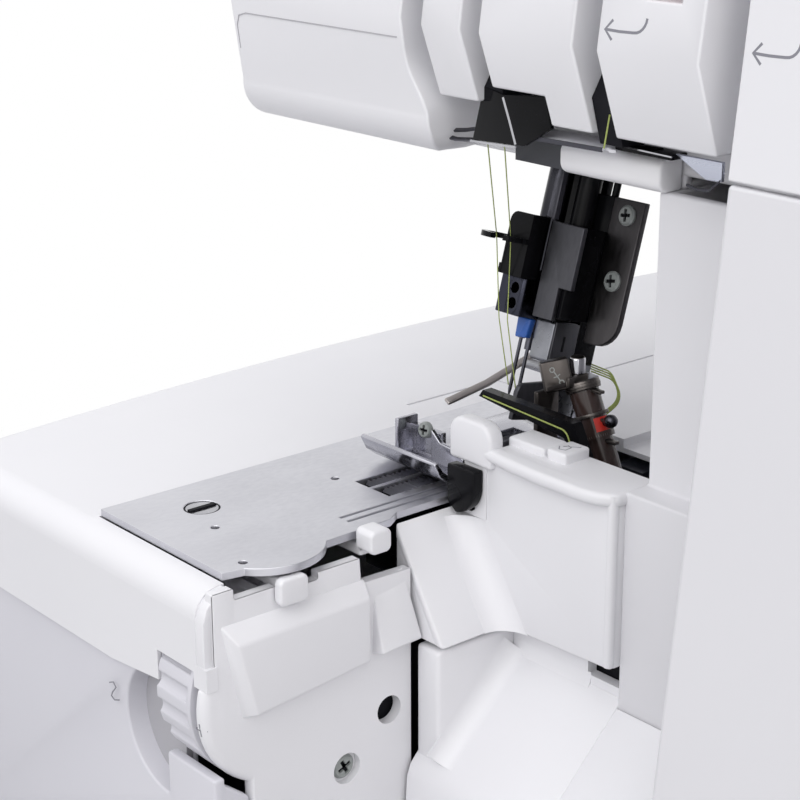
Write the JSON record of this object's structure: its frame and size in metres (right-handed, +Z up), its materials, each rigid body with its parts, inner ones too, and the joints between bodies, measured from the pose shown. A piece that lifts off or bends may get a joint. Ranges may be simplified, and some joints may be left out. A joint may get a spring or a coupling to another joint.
{
  "type": "overlock sewing machine",
  "caption": "Free-standing overlock sewing machine: white bed and head, leaning needle bar, presser foot, loopers, knives, tension wheels, drop-down front panel and thread stand.",
  "frame": {"origin": "middle of the machine's footprint, on the table that its feet stand on", "axes": "+X to the machine's right, towards the handwheel; +Y to its back; +Z up"},
  "size_m": [0.341, 0.2984, 0.305],
  "materials": {
    "white_plastic": "satin moulded",
    "grey_plastic": "satin moulded",
    "rubber": "matt",
    "casting": "as cast",
    "plate_steel": "brushed",
    "dark_steel": "ground",
    "bright_steel": "polished",
    "bronze": "satin",
    "motor_paint": "satin",
    "black_metal": "gloss",
    "clamp_steel": "satin",
    "gunmetal": "satin",
    "ankle_steel": "satin",
    "brown_tube": "gloss",
    "dial_one": "gloss",
    "dial_two": "gloss",
    "dial_three": "gloss",
    "dial_four": "gloss",
    "black_plastic": "gloss",
    "thread": "spun"
  },
  "bodies": {
    "machine": {"base_tray": "grey_plastic", "rubber_feet": "rubber", "frame_casting": "casting", "bed_cover": "white_plastic", "bed_front_panel": "white_plastic", "bed_side_panel": "white_plastic", "needle_plate": "plate_steel", "needle_plate_screw": "plate_steel", "shaft_bushes": "bronze", "motor": "motor_paint", "drive_belt": "rubber", "column_cover": "white_plastic", "chute": "white_plastic", "looper_guard": "white_plastic", "head_front_cover": "white_plastic", "head_shell": "white_plastic", "arm_bar": "white_plastic", "take_up_guard": "black_plastic", "head_thread_guides": "bright_steel", "power_inlet": "black_plastic", "spool_stand": "white_plastic", "guide_pole_tube": "bright_steel", "needle_threads": "thread", "thread_loop": "thread"},
    "drive": {"main_shaft": "dark_steel", "handwheel": "grey_plastic"},
    "motor_rotor": {"motor_pulley": "dark_steel"},
    "needle_drive": {"needle_bar": "bright_steel", "needle_clamp": "clamp_steel", "needles": "bright_steel", "needle_thread_guide": "black_metal"},
    "presser": {"presser_bar": "black_metal", "presser_bracket": "gunmetal", "bracket_screws": "bright_steel", "foot_ankle": "ankle_steel"},
    "foot": {"presser_foot": "ankle_steel"},
    "lifter": {"presser_lifter": "grey_plastic"},
    "pressure_adjuster": {"pressure_knob": "white_plastic"},
    "upper_looper_arm": {"upper_looper": "black_metal", "looper_thread": "thread"},
    "lower_looper_arm": {"lower_looper": "bright_steel"},
    "upper_knife": {"upper_knife_arm": "brown_tube", "upper_knife_block": "bronze"},
    "lower_knife_carriage": {"lower_knife_holder": "black_metal", "lower_knife": "bright_steel"},
    "width_dial": {"cutting_width_dial": "white_plastic"},
    "front_feed": {"feed_dog_front": "dark_steel"},
    "rear_feed": {"feed_dog_rear": "dark_steel"},
    "finger_lever": {"stitch_finger_lever": "white_plastic"},
    "knife_lever": {"knife_release_lever": "white_plastic"},
    "dial_left_needle": {"tension_dial_left_needle": "dial_one"},
    "dial_right_needle": {"tension_dial_right_needle": "dial_two"},
    "dial_upper_looper": {"tension_dial_upper_looper": "dial_three"},
    "dial_lower_looper": {"tension_dial_lower_looper": "dial_four"},
    "length_dial": {"stitch_length_dial": "grey_plastic"},
    "feed_ratio_dial": {"differential_dial": "grey_plastic"},
    "switch": {"power_switch": "black_plastic"},
    "hinge_slider": {"front_panel_hinge_rod": "bright_steel"},
    "door": {"front_panel": "white_plastic"},
    "thread_mast": {"guide_pole_rod": "bright_steel"}
  },
  "joints": [
    {"name": "main_shaft_turn", "type": "hinge", "parent": "machine", "child": "drive", "pos_m": [0.165, 0.025, 0.078], "axis": [1, 0, 0], "continuous": true},
    {"name": "motor_turn", "type": "hinge", "parent": "machine", "child": "motor_rotor", "pos_m": [0.142, 0.034, 0.04], "axis": [1, 0, 0], "continuous": true},
    {"name": "needle_bar_stroke", "type": "slide", "parent": "machine", "child": "needle_drive", "axis": [0, 0.2756, 0.9613], "range_m": [-0.028, 0], "deforming": ["needle_threads"]},
    {"name": "presser_lift", "type": "slide", "parent": "machine", "child": "presser", "axis": [0, 0.2756, 0.9613], "range_m": [0, 0.006], "stiffness_N_per_m": 1500, "springref_m": -0.01},
    {"name": "foot_tilt", "type": "hinge", "parent": "presser", "child": "foot", "pos_m": [-0.0407, -0.02041, 0.12809], "axis": [1, 0, 0], "range_deg": [-8, 0], "stiffness_Nm_per_rad": 0.05},
    {"name": "lifter_turn", "type": "hinge", "parent": "machine", "child": "lifter", "pos_m": [-0.018, 0.0515, 0.222], "axis": [1, 0, 0], "range_deg": [0, 25]},
    {"name": "pressure_turn", "type": "hinge", "parent": "machine", "child": "pressure_adjuster", "pos_m": [-0.0454, 0.0185, 0.3], "axis": [0, 0, 1], "range_deg": [-360, 360]},
    {"name": "upper_looper_swing", "type": "hinge", "parent": "machine", "child": "upper_looper_arm", "pos_m": [-0.03, -0.045, 0.062], "axis": [0, 1, 0], "range_deg": [0, 20]},
    {"name": "lower_looper_swing", "type": "hinge", "parent": "machine", "child": "lower_looper_arm", "pos_m": [-0.058, -0.03, 0.046], "axis": [0, 1, 0], "range_deg": [-25, 0]},
    {"name": "upper_knife_swing", "type": "hinge", "parent": "machine", "child": "upper_knife", "pos_m": [-0.0074, -0.03, 0.096], "axis": [0, 1, 0], "range_deg": [0, 12]},
    {"name": "width_dial_turn", "type": "hinge", "parent": "machine", "child": "width_dial", "pos_m": [-0.041, -0.125, 0.086], "axis": [1, 0, 0], "range_deg": [0, 180]},
    {"name": "lower_knife_shift", "type": "slide", "parent": "machine", "child": "lower_knife_carriage", "axis": [1, 0, 0], "range_m": [0, 0.003]},
    {"name": "rear_feed_stroke", "type": "slide", "parent": "machine", "child": "rear_feed", "axis": [0, 1, 0], "range_m": [-0.002, 0.002]},
    {"name": "front_feed_stroke", "type": "slide", "parent": "machine", "child": "front_feed", "axis": [0, 1, 0], "range_m": [-0.002, 0.002]},
    {"name": "finger_lever_slide", "type": "slide", "parent": "machine", "child": "finger_lever", "axis": [0, 1, 0], "range_m": [0, 0.006]},
    {"name": "knife_lever_slide", "type": "slide", "parent": "machine", "child": "knife_lever", "axis": [0, 1, 0], "range_m": [0, 0.004]},
    {"name": "dial_left_needle_turn", "type": "hinge", "parent": "machine", "child": "dial_left_needle", "pos_m": [-0.062, -0.057, 0.266], "axis": [1, 0, 0], "range_deg": [0, 270]},
    {"name": "dial_right_needle_turn", "type": "hinge", "parent": "machine", "child": "dial_right_needle", "pos_m": [-0.034, -0.057, 0.266], "axis": [1, 0, 0], "range_deg": [0, 270]},
    {"name": "dial_upper_looper_turn", "type": "hinge", "parent": "machine", "child": "dial_upper_looper", "pos_m": [0.0016, -0.057, 0.266], "axis": [1, 0, 0], "range_deg": [0, 270]},
    {"name": "dial_lower_looper_turn", "type": "hinge", "parent": "machine", "child": "dial_lower_looper", "pos_m": [0.033, -0.057, 0.266], "axis": [1, 0, 0], "range_deg": [0, 270]},
    {"name": "length_dial_turn", "type": "hinge", "parent": "machine", "child": "length_dial", "pos_m": [0.163, -0.03, 0.16], "axis": [1, 0, 0], "range_deg": [0, 270]},
    {"name": "feed_ratio_turn", "type": "hinge", "parent": "machine", "child": "feed_ratio_dial", "pos_m": [0.163, 0.02, 0.16], "axis": [1, 0, 0], "range_deg": [0, 270]},
    {"name": "switch_rock", "type": "hinge", "parent": "machine", "child": "switch", "pos_m": [0.154, -0.036, 0.059], "axis": [0, 0, 1], "range_deg": [-6, 6]},
    {"name": "panel_shift", "type": "slide", "parent": "machine", "child": "hinge_slider", "axis": [1, 0, 0], "range_m": [0, 0.008]},
    {"name": "panel_open", "type": "hinge", "parent": "hinge_slider", "child": "door", "pos_m": [0.105, -0.0885, 0.0165], "axis": [1, 0, 0], "range_deg": [0, 75]},
    {"name": "mast_raise", "type": "slide", "parent": "machine", "child": "thread_mast", "axis": [0, 0, 1], "range_m": [0, 0.15]}
  ],
  "couplings": [
    {"joint": "motor_turn", "follows": "main_shaft_turn", "ratio": 2.8889},
    {"joint": "lifter_turn", "follows": "presser_lift", "rad_per_m": 72.722},
    {"joint": "lower_looper_swing", "follows": "upper_looper_swing", "ratio": -1.25},
    {"joint": "lower_knife_shift", "follows": "width_dial_turn", "m_per_rad": 0.00095493},
    {"joint": "front_feed_stroke", "follows": "rear_feed_stroke", "ratio": 1}
  ]
}
